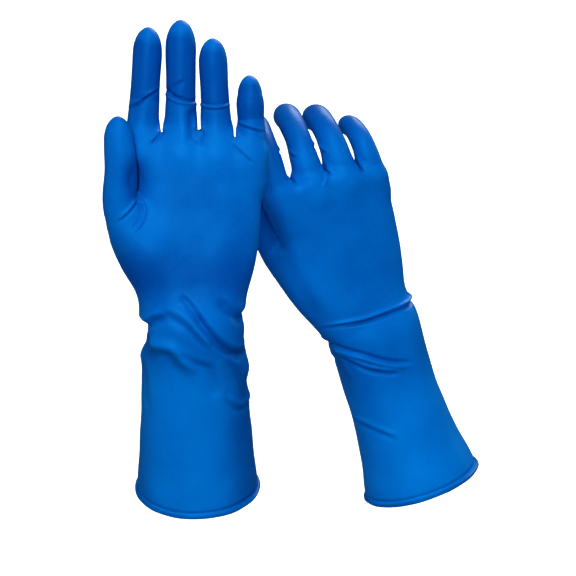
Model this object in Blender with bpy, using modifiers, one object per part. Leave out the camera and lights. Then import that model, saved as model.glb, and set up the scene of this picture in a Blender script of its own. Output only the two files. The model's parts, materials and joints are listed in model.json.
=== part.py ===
"""A pair of long-cuff rubber gloves in the shape they take when worn.

Each glove is a thin hollow skin: a rolled bead at the opening, a cuff, a hand, and stalls for the
thumb and four fingers. The skin is divided where it bends. The left glove shows its palm, the right
glove its back. All lengths are in metres, +Z runs up the left cuff from its opening, and the origin
is the centre of that opening.
"""

import math

import bmesh
import bpy
from mathutils import Matrix, Vector

MM = 0.001

# ---- the skin ----
WALL = 0.5 * MM
GAP = 0.3 * MM  # between two pieces that meet
BEAD_RADIUS = 1.2 * MM
BEAD_SIDES = 8

# ---- the cuff: share of its length, half width, half depth, squareness of the section ----
CUFF_RINGS = [
    (0.00, 38.2 * MM, 38.0 * MM, 2.0),
    (0.25, 35.4 * MM, 34.6 * MM, 2.0),
    (0.52, 33.2 * MM, 31.0 * MM, 2.1),
    (0.78, 32.0 * MM, 28.0 * MM, 2.3),
    (1.00, 31.2 * MM, 25.4 * MM, 2.5),
]
BEAD_WIDTH = 38.6 * MM
BEAD_DEPTH = 38.4 * MM
CUFF_SIDES = 32

# ---- the wrist: the hand ends in a barrel that turns inside the top of the cuff ----
BARREL_RADIUS = 24.0 * MM
BARREL_REACH = math.radians(44)
WRIST_HALF_WIDTH = 29.8 * MM
BARREL_STEPS = 6

# ---- the palm: height above the wrist, thumb side, little-finger side, palm depth, back depth ----
PALM_RINGS = [
    (30 * MM, -43.0 * MM, 38.0 * MM, 18.0 * MM, 15.5 * MM),
    (46 * MM, -48.0 * MM, 40.0 * MM, 17.5 * MM, 15.0 * MM),
    (60 * MM, -43.5 * MM, 41.0 * MM, 16.5 * MM, 14.5 * MM),
    (80 * MM, -38.5 * MM, 42.0 * MM, 15.0 * MM, 13.5 * MM),
    (92 * MM, -39.0 * MM, 44.0 * MM, 14.0 * MM, 13.0 * MM),
]
PALM_TOP = (-39.0 * MM, 44.0 * MM, 13.6 * MM, 12.6 * MM)
PALM_ROUNDING = 3 * MM
PALM_SIDES = 28
SQUARENESS = 2.5  # of a section: 2 is an ellipse

# ---- the webs between the fingers ----
WEB_HEIGHT = 110.5 * MM
WEB_DROP = 0.0060 / MM  # how fast the webs drop towards the little finger

# ---- how far the joints bend from straight ----
KNUCKLE_BEND = math.radians(70)
MIDDLE_BEND = math.radians(80)
TIP_RATIO = 0.6
TIP_BEND = MIDDLE_BEND * TIP_RATIO
THUMB_BEND = math.radians(36)
THUMB_BACK = math.radians(14)
THUMB_TIP_BEND = math.radians(50)
NOTCH_ROOM = math.radians(1.5)
AXIS_TO_PALM = 0.25  # how far a hinge sits from a stall's middle towards the palm, in radii

# ---- the fingers: place across the palm, length past the web, root and tip radius, lean ----
FINGERS = {
    "index": (-30.2 * MM, 65.4 * MM, 9.1 * MM, 8.1 * MM, math.radians(4.4)),
    "middle": (-6.7 * MM, 69.6 * MM, 9.4 * MM, 8.6 * MM, math.radians(0.0)),
    "ring": (14.6 * MM, 58.9 * MM, 9.0 * MM, 8.3 * MM, math.radians(-2.3)),
    "little": (36.0 * MM, 41.6 * MM, 8.2 * MM, 7.7 * MM, math.radians(-2.0)),
}
LOWER_SHARE = 0.345
MIDDLE_SHARE = 0.32
STALL_SIDES = 16
DOME_STEPS = 4
DOME_LENGTH = 1.15  # of a finger's end, in radii

# ---- the thumb ----
THUMB_ROOT = Vector((-43.0, -12.0, 66.0)) * MM
THUMB_LENGTHS = (26 * MM, 31 * MM)
THUMB_RADII = (9.4 * MM, 8.6 * MM)
THUMB_LEAN = math.radians(-5.5)
THUMB_TURN = math.radians(30)
MOUND_FOOT = Vector((-12.0, 0.0, 24.0)) * MM
MOUND_RADIUS = 14.5 * MM
MOUND_SIDES = 20
NOTCH_SIZE = 3 * THUMB_RADII[0]  # of the wedges that let the thumb bend

# ---- how each glove stands, and how its joints are bent as worn; angles in degrees ----
GLOVES = {
    "left": {
        "palm": -1,
        "place": Vector((0, 0, 0)),
        "axis": Vector((0, 0, 1)),
        "turn": 0,
        "cuff_length": 120 * MM,
        "cuff_slimness": 0.0,
        "wrist_place": -1.2 * MM,
        "wrist_lean": 0,
        "wrist_bend": -22,
        "fingers": {  # lean besides the finger's own, then the bends of its three joints
            "index": (0, 0, 0, 0),
            "middle": (0, 0, 0, 0),
            "ring": (0, 0, 0, 0),
            "little": (0, 0, 0, 0),
        },
        "thumb_bends": (0, 0),
    },
    "right": {
        "palm": 1,
        "place": Vector((144, 66, -35)) * MM,
        "axis": Vector((-0.294, 0.185, 0.938)),
        "turn": 21,
        "cuff_length": 112 * MM,
        "cuff_slimness": 0.1,
        "wrist_place": -1.5 * MM,
        "wrist_lean": -3.5,
        "wrist_bend": -8,
        "fingers": {
            "index": (4, 26, 40, 24),
            "middle": (4, 30, 45, 27),
            "ring": (3, 34, 45, 27),
            "little": (-3, 36, 45, 27),
        },
        "thumb_bends": (2, 8),
    },
}

# ---- looks and display ----
LATEX_BLUE = (0.0, 0.14, 0.58, 1.0)
LATEX_ROUGHNESS = 0.42
BEAD_BLUE = (0.0, 0.10, 0.42, 1.0)
BEAD_ROUGHNESS = 0.38
SHARP_EDGE = math.radians(40)
HINGE_MARK = 8 * MM


def clear_scene():
    for thing in list(bpy.data.objects):
        bpy.data.objects.remove(thing, do_unlink=True)


def make_collection(name):
    collection = bpy.data.collections.new(name)
    bpy.context.scene.collection.children.link(collection)
    return collection


def make_material(name, colour, roughness):
    material = bpy.data.materials.new(name)
    material.use_nodes = True
    shader = material.node_tree.nodes["Principled BSDF"]
    shader.inputs["Base Color"].default_value = colour
    shader.inputs["Roughness"].default_value = roughness
    shader.inputs["Metallic"].default_value = 0.0
    return material


def make_object(name, bm, parent, collection, material=None):
    """An object from a bmesh, under a parent."""
    bmesh.ops.triangulate(bm, faces=bm.faces)
    bmesh.ops.recalc_face_normals(bm, faces=bm.faces)
    mesh = bpy.data.meshes.new(name)
    bm.to_mesh(mesh)
    bm.free()
    mesh.shade_smooth()
    mesh.set_sharp_from_angle(angle=SHARP_EDGE)
    thing = bpy.data.objects.new(name, mesh)
    collection.objects.link(thing)
    thing.parent = parent
    if material:
        mesh.materials.append(material)
    return thing


def make_empty(name, parent, matrix, collection):
    """A joint: its own X axis is the hinge."""
    empty = bpy.data.objects.new(name, None)
    empty.empty_display_size = HINGE_MARK
    collection.objects.link(empty)
    empty.parent = parent
    empty.matrix_local = matrix
    return empty


def add_thickness(thing):
    """Turn an open surface into a skin, inwards from its outer face."""
    solidify = thing.modifiers.new("skin", "SOLIDIFY")
    solidify.thickness = WALL
    solidify.offset = -1
    solidify.use_even_offset = True
    solidify.use_quality_normals = True


def cut(thing, cutter):
    boolean = thing.modifiers.new(cutter.name, "BOOLEAN")
    boolean.operation = "DIFFERENCE"
    boolean.object = cutter


def as_cutter(thing):
    thing.hide_render = True
    thing.display_type = "WIRE"
    return thing


def loft(rings):
    """A bmesh through rings of equally many points, open at both ends."""
    bm = bmesh.new()
    rows = [[bm.verts.new(point) for point in ring] for ring in rings]
    count = len(rows[0])
    for low, high in zip(rows, rows[1:]):
        for i in range(count):
            j = (i + 1) % count
            bm.faces.new((low[i], low[j], high[j], high[i]))
    return bm, rows


def turned(profile, sides):
    """A bmesh from a profile of (radius, height) turned about Z."""
    bm = bmesh.new()
    points = [bm.verts.new((radius, 0, height)) for radius, height in profile]
    edges = [bm.edges.new(pair) for pair in zip(points, points[1:])]
    bmesh.ops.spin(
        bm,
        geom=points + edges,
        axis=(0, 0, 1),
        cent=(0, 0, 0),
        steps=sides,
        angle=math.tau,
        use_merge=True,
    )
    bmesh.ops.remove_doubles(bm, verts=bm.verts, dist=WALL / 100)
    return bm


def trim(bm, point, outward):
    """Cut away what lies past a plane."""
    everything = bm.verts[:] + bm.edges[:] + bm.faces[:]
    bmesh.ops.bisect_plane(
        bm, geom=everything, plane_co=point, plane_no=outward, clear_outer=True
    )


def web_height(x):
    """How high the palm reaches, at a place across it."""
    return WEB_HEIGHT - WEB_DROP * max(0.0, x) ** 2


def root_height(x, radius):
    """The height of a finger's first hinge: the web at the finger's higher side."""
    return web_height(x - radius)


def section(low_x, high_x, front, back, palm, sides, squareness=SQUARENESS):
    """Points around the glove, anticlockwise from the little-finger side, as (x, y)."""
    middle = (low_x + high_x) / 2
    half = (high_x - low_x) / 2
    points = []
    for i in range(sides):
        angle = math.tau * i / sides
        c, s = math.cos(angle), math.sin(angle)
        depth = front if s * palm > 0 else back
        x = middle + half * math.copysign(abs(c) ** (2 / squareness), c)
        y = depth * math.copysign(abs(s) ** (2 / squareness), s)
        points.append((x, y))
    return points


# ---- cuff ----


def make_cuff(side, base, parts, materials):
    glove = GLOVES[side]
    low = 2 * BEAD_RADIUS + GAP
    high = glove["cuff_length"] - GAP
    rings = []
    for share, width, depth, squareness in CUFF_RINGS:
        slim = 1 - glove["cuff_slimness"] * math.sin(math.pi * share)
        middle = glove["wrist_place"] * share
        width, depth = width * slim, depth * slim
        outline = section(
            middle - width, middle + width, depth, depth, 1, CUFF_SIDES, squareness
        )
        rings.append([Vector((x, y, low + (high - low) * share)) for x, y in outline])
    bm, _ = loft(rings)
    cuff = make_object(f"{side}_cuff", bm, base, parts, materials["skin"])
    add_thickness(cuff)

    bpy.ops.mesh.primitive_torus_add(
        major_radius=BEAD_WIDTH - BEAD_RADIUS,
        minor_radius=BEAD_RADIUS,
        major_segments=CUFF_SIDES,
        minor_segments=BEAD_SIDES,
    )
    bead = bpy.context.active_object
    bead.name = f"{side}_rolled_bead"
    bead.data.transform(Matrix.Diagonal((1, BEAD_DEPTH / BEAD_WIDTH, 1, 1)))
    bead.data.shade_smooth()
    bead.data.materials.append(materials["bead"])
    for collection in list(bead.users_collection):
        collection.objects.unlink(bead)
    parts.objects.link(bead)
    bead.parent = base
    bead.location = (0, 0, BEAD_RADIUS)


# ---- hand ----


def palm_rings(palm, inset):
    """Rings from the end of the wrist's barrel, which is round about X, to the palm's top."""
    width = WRIST_HALF_WIDTH - inset
    radius = BARREL_RADIUS - inset
    outline = section(-width, width, radius, radius, palm, PALM_SIDES)
    rings = []
    for step in range(BARREL_STEPS + 1):
        angle = BARREL_REACH * (2 * step / BARREL_STEPS - 1)
        ring = []
        for x, y in outline:
            height = math.sin(angle) * max(abs(y), BEAD_RADIUS)
            ring.append(Vector((x, y * math.cos(angle), height)))
        rings.append(ring)
    for height, low_x, high_x, front, back in PALM_RINGS:
        outline = section(
            low_x + inset, high_x - inset, front - inset, back - inset, palm, PALM_SIDES
        )
        rings.append([Vector((x, y, height)) for x, y in outline])
    return rings


def palm_top(x, y, palm, hinge):
    """The closed end of the palm: level at the back, and sloping away under the bending fingers."""
    slope = math.tan(KNUCKLE_BEND / 2 + NOTCH_ROOM)
    return web_height(x) - GAP - slope * max(0.0, y * palm - hinge)


def close_across(bm, row, ridge=None):
    """Close a ring with strips that run across Y, by way of a ridge if there is one."""
    count = len(row)
    half = count // 2
    for i in range(half):
        front = [row[i], row[i + 1]]
        back = [row[-i % count], row[-(i + 1) % count]]
        middle = [] if ridge is None else ridge[i : i + 2]
        for near, far in [(front, middle), (middle, back)] if middle else [(front, back)]:
            corners = list(dict.fromkeys([near[0], near[1], far[1], far[0]]))
            if len(corners) > 2:
                bm.faces.new(corners)


def palm_solid(palm, inset):
    """The palm as one closed body, whose upper end follows the webs."""
    hinge = AXIS_TO_PALM * FINGERS["middle"][2]
    low_x, high_x, front, back = PALM_TOP
    rings = palm_rings(palm, inset)
    for rounding, drop in ((0.0, PALM_ROUNDING), (PALM_ROUNDING / 2, 0.0)):
        edge = inset + rounding
        outline = section(
            low_x + edge, high_x - edge, front - edge, back - edge, palm, PALM_SIDES
        )
        rings.append(
            [Vector((x, y, palm_top(x, y, palm, hinge) - drop - inset)) for x, y in outline]
        )
    if inset:
        rings[0:0] = [[point - Vector((0, 0, BARREL_RADIUS)) for point in rings[0]]]
    bm, rows = loft(rings)
    close_across(bm, rows[0])
    top = rows[-1]
    half = PALM_SIDES // 2
    ridge = [top[0]]
    for i in range(1, half):
        x = top[i].co.x
        y = hinge * palm
        ridge.append(bm.verts.new((x, y, palm_top(x, y, palm, hinge) - inset)))
    ridge.append(top[half])
    close_across(bm, top, ridge)
    return bm


def mound_solid(palm, inset, past_end):
    """The ball of the thumb: a cone from inside the palm to the thumb stall."""
    foot = Vector((MOUND_FOOT.x, -palm * MOUND_FOOT.y, MOUND_FOOT.z))
    root = Vector((THUMB_ROOT.x, -palm * THUMB_ROOT.y, THUMB_ROOT.z))
    along = root - foot
    bm = bmesh.new()
    bmesh.ops.create_cone(
        bm,
        cap_ends=True,
        segments=MOUND_SIDES,
        radius1=MOUND_RADIUS - inset,
        radius2=THUMB_RADII[0] - inset,
        depth=along.length,
    )
    bmesh.ops.translate(bm, verts=bm.verts, vec=(0, 0, along.length / 2))
    for vertex in bm.verts:
        if vertex.co.z > along.length / 2:
            vertex.co.z += past_end
    turn = along.to_track_quat("Z", "Y").to_matrix().to_4x4()
    bmesh.ops.transform(bm, matrix=Matrix.Translation(foot) @ turn, verts=bm.verts)
    return bm


def thumb_frame(palm):
    """Where the thumb's hinges lie: X along the hinge, Z along the thumb."""
    root = Vector((THUMB_ROOT.x, -palm * THUMB_ROOT.y, THUMB_ROOT.z))
    lean = Matrix.Rotation(THUMB_LEAN, 4, "Y")
    turn = Matrix.Rotation(-palm * THUMB_TURN, 4, "Z")
    return Matrix.Translation(root) @ lean @ turn


def make_hand(side, palm, wrist, parts, cutters, materials):
    hand = make_object(f"{side}_hand", palm_solid(palm, 0.0), wrist, parts, materials["skin"])

    mound = make_object(f"{side}_mound", mound_solid(palm, 0.0, 0.0), wrist, cutters)
    join = hand.modifiers.new("mound", "BOOLEAN")
    join.operation = "UNION"
    join.object = as_cutter(mound)

    palm_core = make_object(f"{side}_palm_core", palm_solid(palm, WALL), wrist, cutters)
    cut(hand, as_cutter(palm_core))
    mound_core = make_object(
        f"{side}_mound_core", mound_solid(palm, WALL, BEAD_RADIUS), wrist, cutters
    )
    cut(hand, as_cutter(mound_core))

    for finger, (x, _, radius, _, _) in FINGERS.items():
        socket = bmesh.new()
        bmesh.ops.create_cone(
            socket,
            cap_ends=True,
            segments=STALL_SIDES,
            radius1=radius - WALL,
            radius2=radius - WALL,
            depth=2 * radius,
        )
        cutter = make_object(f"{side}_{finger}_socket", socket, wrist, cutters)
        cutter.location = (x, 0, root_height(x, radius) - radius / 2)
        cut(hand, as_cutter(cutter))

    notch = bmesh.new()
    bmesh.ops.create_cube(notch, size=NOTCH_SIZE)
    bmesh.ops.translate(notch, verts=notch.verts, vec=(0, 0, NOTCH_SIZE / 2))
    for name, tilt in (("front", THUMB_BEND / 2), ("back", -THUMB_BACK / 2)):
        wedge = notch.copy()
        cutter = make_object(f"{side}_thumb_{name}_notch", wedge, wrist, cutters)
        tilt += math.copysign(NOTCH_ROOM, tilt)
        cutter.matrix_local = (
            thumb_frame(palm)
            @ Matrix.Translation((0, 0, -GAP))
            @ Matrix.Rotation(-palm * tilt, 4, "X")
        )
        cut(hand, as_cutter(cutter))
    notch.free()


# ---- stalls ----


def dome(low, high, start, length):
    """The profile of a stall's rounded end."""
    reach = DOME_LENGTH * high
    profile = [(low, start)]
    for step in range(DOME_STEPS + 1):
        angle = math.pi / 2 * step / DOME_STEPS
        profile.append((high * math.cos(angle), length - reach * (1 - math.sin(angle))))
    profile[-1] = (0.0, length)
    return profile


def stall(length, radii, palm, bends_below, bends_above, lean):
    """One stretch of a stall, open at its root, with room to bend at each hinge.

    The hinge below is the origin's X axis. The bends are to the front and to the back. A stretch
    with no bends above it is a rounded tip.
    """
    low, high = radii
    spare = low / 2
    if bends_above is None:
        profile = dome(low, high, -spare, length)
    else:
        profile = [(low, -spare), (high, length + spare)]
    bm = turned(profile, STALL_SIDES)
    to_hinge = Matrix.Translation((0, -AXIS_TO_PALM * low * palm, 0))
    bmesh.ops.transform(bm, matrix=to_hinge @ Matrix.Rotation(lean, 4, "Y"), verts=bm.verts)

    ends = [(Vector((0, 0, GAP / 2)), -1, bends_below)]
    if bends_above is not None:
        top = Vector((length * math.sin(lean), 0, length * math.cos(lean) - GAP / 2))
        ends.append((top, 1, bends_above))
    for point, up, bends in ends:
        trim(bm, point, (0, 0, up))
        for bend, toward in zip(bends, (palm, -palm)):
            if bend:
                half = bend / 2 + NOTCH_ROOM
                trim(bm, point, (0, toward * math.sin(half), up * math.cos(half)))
    return bm


def next_hinge(length, lean, bend, palm):
    """The hinge at the far end of a stretch, bent by its own angle."""
    reach = Matrix.Translation((length * math.sin(lean), 0, length * math.cos(lean)))
    return reach @ Matrix.Rotation(-palm * bend, 4, "X")


def make_finger(side, finger, palm, wrist, parts, materials):
    x, length, root_radius, tip_radius, lean = FINGERS[finger]
    extra_lean, *bends = GLOVES[side]["fingers"][finger]
    lean += math.radians(extra_lean)
    lengths = [length * LOWER_SHARE, length * MIDDLE_SHARE]
    lengths.append(length - sum(lengths))
    radii = [
        root_radius + (tip_radius - root_radius) * share
        for share in (0, LOWER_SHARE, LOWER_SHARE + MIDDLE_SHARE, 1)
    ]
    limits = [(KNUCKLE_BEND, 0), (MIDDLE_BEND, 0), (TIP_BEND, 0), None]
    hinge_y = AXIS_TO_PALM * root_radius * palm
    place = Matrix.Translation((x, hinge_y, root_height(x, root_radius)))
    frame = place @ Matrix.Rotation(-palm * math.radians(bends[0]), 4, "X")
    parent = wrist
    for step, stretch in enumerate(("lower", "middle", "tip")):
        name = f"{side}_{finger}_{stretch}"
        parent = make_empty(f"{name}_hinge", parent, frame, parts)
        stretch_radii = radii[step : step + 2]
        bm = stall(lengths[step], stretch_radii, palm, limits[step], limits[step + 1], lean)
        add_thickness(make_object(name, bm, parent, parts, materials["skin"]))
        if step < 2:
            frame = next_hinge(lengths[step], lean, math.radians(bends[step + 1]), palm)


def make_thumb(side, palm, bends, wrist, parts, materials):
    root, end = THUMB_RADII
    middle = (root + end) / 2
    tip_bends = (THUMB_TIP_BEND, 0)
    frame = thumb_frame(palm) @ Matrix.Rotation(-palm * math.radians(bends[0]), 4, "X")
    hinge = make_empty(f"{side}_thumb_lower_hinge", wrist, frame, parts)
    lower = stall(
        THUMB_LENGTHS[0], (root, middle), palm, (THUMB_BEND, THUMB_BACK), tip_bends, 0.0
    )
    add_thickness(make_object(f"{side}_thumb_lower", lower, hinge, parts, materials["skin"]))
    frame = next_hinge(THUMB_LENGTHS[0], 0.0, math.radians(bends[1]), palm)
    hinge = make_empty(f"{side}_thumb_tip_hinge", hinge, frame, parts)
    tip = stall(THUMB_LENGTHS[1], (middle, end), palm, tip_bends, None, 0.0)
    add_thickness(make_object(f"{side}_thumb_tip", tip, hinge, parts, materials["skin"]))


def make_glove(side, parts, cutters, materials):
    glove = GLOVES[side]
    palm = glove["palm"]
    axis = glove["axis"].normalized()
    across = Vector((0, 1, 0)).cross(axis).normalized()
    stand = Matrix((across, axis.cross(across), axis)).transposed().to_4x4()
    turn = Matrix.Rotation(math.radians(glove["turn"]), 4, "Z")
    base = make_empty(
        f"{side}_opening", None, Matrix.Translation(glove["place"]) @ stand @ turn, parts
    )
    wrist_frame = (
        Matrix.Translation((glove["wrist_place"], 0, glove["cuff_length"]))
        @ Matrix.Rotation(math.radians(glove["wrist_lean"]), 4, "Y")
        @ Matrix.Rotation(-palm * math.radians(glove["wrist_bend"]), 4, "X")
    )
    wrist = make_empty(f"{side}_wrist", base, wrist_frame, parts)
    make_cuff(side, base, parts, materials)
    make_hand(side, palm, wrist, parts, cutters, materials)
    make_thumb(side, palm, glove["thumb_bends"], wrist, parts, materials)
    for finger in FINGERS:
        make_finger(side, finger, palm, wrist, parts, materials)


def main():
    clear_scene()
    parts = make_collection("rubber_gloves")
    cutters = make_collection("cutters")
    materials = {
        "skin": make_material("blue latex", LATEX_BLUE, LATEX_ROUGHNESS),
        "bead": make_material("blue latex bead", BEAD_BLUE, BEAD_ROUGHNESS),
    }
    for side in GLOVES:
        make_glove(side, parts, cutters, materials)


main()
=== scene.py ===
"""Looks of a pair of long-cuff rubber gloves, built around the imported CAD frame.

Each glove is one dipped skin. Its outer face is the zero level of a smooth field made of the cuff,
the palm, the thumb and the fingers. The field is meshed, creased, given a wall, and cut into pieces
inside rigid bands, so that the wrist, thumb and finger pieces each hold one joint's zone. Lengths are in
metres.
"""

import itertools
import json
import math

import bpy
import numpy as np
from mathutils import Matrix, Vector, noise


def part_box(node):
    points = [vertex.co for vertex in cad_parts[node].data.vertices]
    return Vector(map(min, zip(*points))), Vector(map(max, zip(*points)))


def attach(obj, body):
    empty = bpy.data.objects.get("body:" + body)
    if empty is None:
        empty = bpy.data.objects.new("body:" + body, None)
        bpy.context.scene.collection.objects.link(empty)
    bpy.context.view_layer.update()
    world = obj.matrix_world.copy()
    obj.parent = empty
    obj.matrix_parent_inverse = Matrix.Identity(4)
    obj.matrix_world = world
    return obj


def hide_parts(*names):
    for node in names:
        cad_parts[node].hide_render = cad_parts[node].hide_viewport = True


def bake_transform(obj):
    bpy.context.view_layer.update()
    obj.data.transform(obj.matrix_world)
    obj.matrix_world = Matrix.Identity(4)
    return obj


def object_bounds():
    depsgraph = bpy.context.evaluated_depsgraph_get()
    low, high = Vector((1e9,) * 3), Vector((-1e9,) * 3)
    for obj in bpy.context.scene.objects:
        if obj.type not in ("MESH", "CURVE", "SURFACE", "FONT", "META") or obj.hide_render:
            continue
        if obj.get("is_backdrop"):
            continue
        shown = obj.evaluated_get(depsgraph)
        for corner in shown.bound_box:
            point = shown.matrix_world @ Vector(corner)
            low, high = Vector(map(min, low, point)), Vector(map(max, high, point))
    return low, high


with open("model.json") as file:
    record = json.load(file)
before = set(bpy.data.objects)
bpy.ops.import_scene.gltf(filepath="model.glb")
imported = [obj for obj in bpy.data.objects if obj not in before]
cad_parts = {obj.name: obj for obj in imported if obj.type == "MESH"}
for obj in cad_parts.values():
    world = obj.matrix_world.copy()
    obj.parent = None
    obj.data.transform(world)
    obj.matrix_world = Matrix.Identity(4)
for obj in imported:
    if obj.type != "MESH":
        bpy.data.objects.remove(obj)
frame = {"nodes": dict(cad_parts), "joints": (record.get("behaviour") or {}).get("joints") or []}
cad_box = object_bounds()
JOINTS = {joint["name"]: joint for joint in frame["joints"]}

MM = 0.001
SIDES = {"left": -1, "right": 1}  # which way a glove's palm faces along its own Y
FINGERS = ("index", "middle", "ring", "little")
STALLS = ("thumb",) + FINGERS
STRETCHES = {"thumb": ("lower", "tip")} | {finger: ("lower", "middle", "tip") for finger in FINGERS}

# ---- the skin ----
WALL = 0.5 * MM
PITCH = 1.4 * MM  # of the grid that the skin is meshed on, then halved
MESHED_GAP = 1.8 * PITCH  # gaps are meshed at least this wide, so that no grid cell holds both sides
MARGIN = 6 * MM  # of the grid, around the glove
SETTLING_ROUNDS = 3
SETTLING_SHARE = 0.5  # of the way to the neighbours' mean, in each round
SLOPE_STEP = 0.2 * MM
BEAD_RADIUS = 1.25 * MM
BEAD_REACH = 0.4 * MM  # of the roll's middle outside the cuff's skin
NECK_HEIGHT = 2.4 * MM  # of the slight neck above the roll
NECK_SPREAD = 1.1 * MM
NECK_DEPTH = 0.8 * MM
BEAD_STEPS = 160
BEAD_SIDES = 14
BEAD_WAVES = 12  # kept of the cuff's outline, so that the roll runs smoothly
BEAD_SWELLS = ((5, 0.05, 0), (13, 0.04, 1))  # count round the bead, share of its radius, turn
LIP_DEPTH = 0.16  # of the radius
LIP_TURN = 2.2
LIP_SPREAD = 0.35
BEAD_TONE = 0.45

# ---- the stalls: radius at each joint and at the tip ----
RADII = {
    "thumb": (10.4 * MM, 9.8 * MM, 9.0 * MM),
    "index": (9.7 * MM, 9.0 * MM, 8.9 * MM, 8.9 * MM),
    "middle": (10.0 * MM, 9.2 * MM, 9.2 * MM, 9.3 * MM),
    "ring": (9.6 * MM, 8.8 * MM, 8.8 * MM, 8.9 * MM),
    "little": (8.8 * MM, 8.1 * MM, 7.8 * MM, 7.7 * MM),
}
GIRTH = {  # of each stall against those radii
    "left": dict.fromkeys(STALLS, 1.0),
    "right": {"thumb": 0.95, "index": 0.92, "middle": 0.90, "ring": 0.95, "little": 0.86},
}
TIP_LENGTH = 1.75  # radii from the apex to where the tip starts to narrow, like half an ellipse
TIP_STEPS = 5
LEANS = {  # from the CAD's stalls, at each hinge and at the tip: across the hand and palmward, in mm
    "left": {
        "thumb": [(1.5, 0.0), (4.2, 4.0), (5.4, 6.0)],
        "index": [(0.0, 0.0), (0.0, 0.0), (-0.3, 0.0), (-0.6, 0.0)],
    },
    "right": {
        "thumb": [(4.5, 2.0), (6.0, 6.0), (7.0, 8.0)],
        "index": [(0.5, 0.0), (2.0, 0.0), (3.4, 0.0), (4.6, 0.0)],
        "middle": [(0.5, 0.0), (2.8, 0.0), (5.4, 0.0), (7.2, 0.0)],
        "ring": [(0.4, 0.0), (2.2, 0.0), (3.8, 0.0), (4.6, 0.0)],
        "little": [(-2.2, 0.0), (0.3, 0.0), (2.2, 0.0), (3.0, 0.0)],
    },
}
HINGE_TO_PALM = 0.25  # of a radius: how far the hinges sit from a stall's middle
ROOT_DEPTH = 22 * MM  # how far a finger's core reaches into the palm
ROOT_TAPER = 0.8  # of the first radius, at that end
MOUND_FOOT = np.array((-12, 0, 24)) * MM
MOUND_RADIUS = 14.5 * MM
CORE_STEPS = 7  # of each stretch of a core
THUMB_GAP = 1.2 * MM  # between the thumb and the palm's edge
THUMB_CROTCH = {"left": 76 * MM, "right": 77 * MM}  # above the wrist
CROTCH_DROP = 6 * MM  # below it, where the thumb starts to part from the palm
CROTCH_RISE = 8 * MM  # over which it parts
PARTED_DEPTH = 30 * MM

# ---- the palm: height above the wrist, thumb side, little-finger side, palm, back, squareness ----
PALM_RINGS = {
    "left": [
        (16 * MM, -34.5 * MM, 33.5 * MM, 19.8 * MM, 19.2 * MM, 2.3),
        (30 * MM, -42.0 * MM, 37.5 * MM, 18.0 * MM, 16.4 * MM, 2.3),
        (46 * MM, -47.5 * MM, 40.0 * MM, 17.2 * MM, 15.2 * MM, 2.3),
        (62 * MM, -43.5 * MM, 41.2 * MM, 16.4 * MM, 14.4 * MM, 2.3),
        (80 * MM, -38.6 * MM, 42.4 * MM, 14.8 * MM, 13.4 * MM, 2.4),
        (96 * MM, -39.4 * MM, 44.0 * MM, 13.2 * MM, 12.4 * MM, 2.6),
        (112 * MM, -39.6 * MM, 44.4 * MM, 10.5 * MM, 10.5 * MM, 2.8),
    ],
    "right": [
        (16 * MM, -36.0 * MM, 29.5 * MM, 20.8 * MM, 19.2 * MM, 2.3),
        (30 * MM, -41.0 * MM, 32.5 * MM, 18.6 * MM, 16.4 * MM, 2.3),
        (46 * MM, -43.0 * MM, 35.4 * MM, 17.6 * MM, 15.2 * MM, 2.3),
        (62 * MM, -41.0 * MM, 37.8 * MM, 16.4 * MM, 14.4 * MM, 2.3),
        (80 * MM, -37.5 * MM, 38.8 * MM, 14.8 * MM, 13.4 * MM, 2.4),
        (96 * MM, -37.5 * MM, 39.0 * MM, 13.2 * MM, 12.4 * MM, 2.6),
        (112 * MM, -37.5 * MM, 37.4 * MM, 10.5 * MM, 10.5 * MM, 2.8),
    ],
}
WEB_ENDS = ((-12 * MM, -1 * MM), (10 * MM, -4 * MM))  # the webs' line past index and little finger
WEB_HEIGHTS = {  # above the finger roots
    "left": (-0.6 * MM, 1.8 * MM, 2.0 * MM, -1.6 * MM),
    "right": (0.8 * MM, 0.8 * MM, -3.8 * MM, -9.0 * MM),
}
WEB_ROUNDING = 5 * MM

# ---- the cuff: share of its length, half width, half depth, squareness ----
CUFF_RINGS = [
    (-0.12, 38.0 * MM, 37.8 * MM, 2.0),
    (0.00, 37.7 * MM, 37.5 * MM, 2.0),
    (0.25, 35.4 * MM, 34.6 * MM, 2.0),
    (0.52, 33.2 * MM, 31.0 * MM, 2.1),
    (0.78, 32.0 * MM, 28.0 * MM, 2.3),
    (1.00, 31.0 * MM, 25.0 * MM, 2.4),
]
CUFF_SLIMNESS = {"left": 0.0, "right": 0.1}

# ---- how softly the parts of the skin run into each other ----
SOFT_MOUND = 12 * MM
SOFT_WEB = 9.0 * MM
SOFT_FINGERS = 3.0 * MM  # above the webs
WEB_FADE = 15 * MM  # of SOFT_WEB into SOFT_FINGERS, up a finger
SOFT_THUMB = 1.0 * MM
FINGER_GAP = 1.4 * MM  # between neighbouring fingers that press together
SOFT_GAP = 1.0 * MM
SLIT_START = 1.5 * MM  # above the webs
WRIST_BEND_REACH = 26 * MM  # of the curve from the cuff into the hand, each way

# ---- where the skin bends: a joint's zone, as shares of the stretches below and above it ----
WRIST_ZONE = 19 * MM
ROOT_START = 3.0 * MM
ROOT_END = 0.70
MIDDLE_START = 0.80
MIDDLE_END = 0.42
TIP_START = 0.32
TIP_END = 0.40
THUMB_ROOT_ZONE = (9.5 * MM, 18.5 * MM)
THUMB_TIP_ZONE = (0.20, 0.24)
WRIST_LAP = 0.04  # of the wrist's zone: how far its piece reaches past each end
ROOT_LAP = 0.4 * MM  # of a stall's first piece, below its zone
STALL_REACH = 2 * MM  # skin this near to a finger's core is the finger's own

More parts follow.
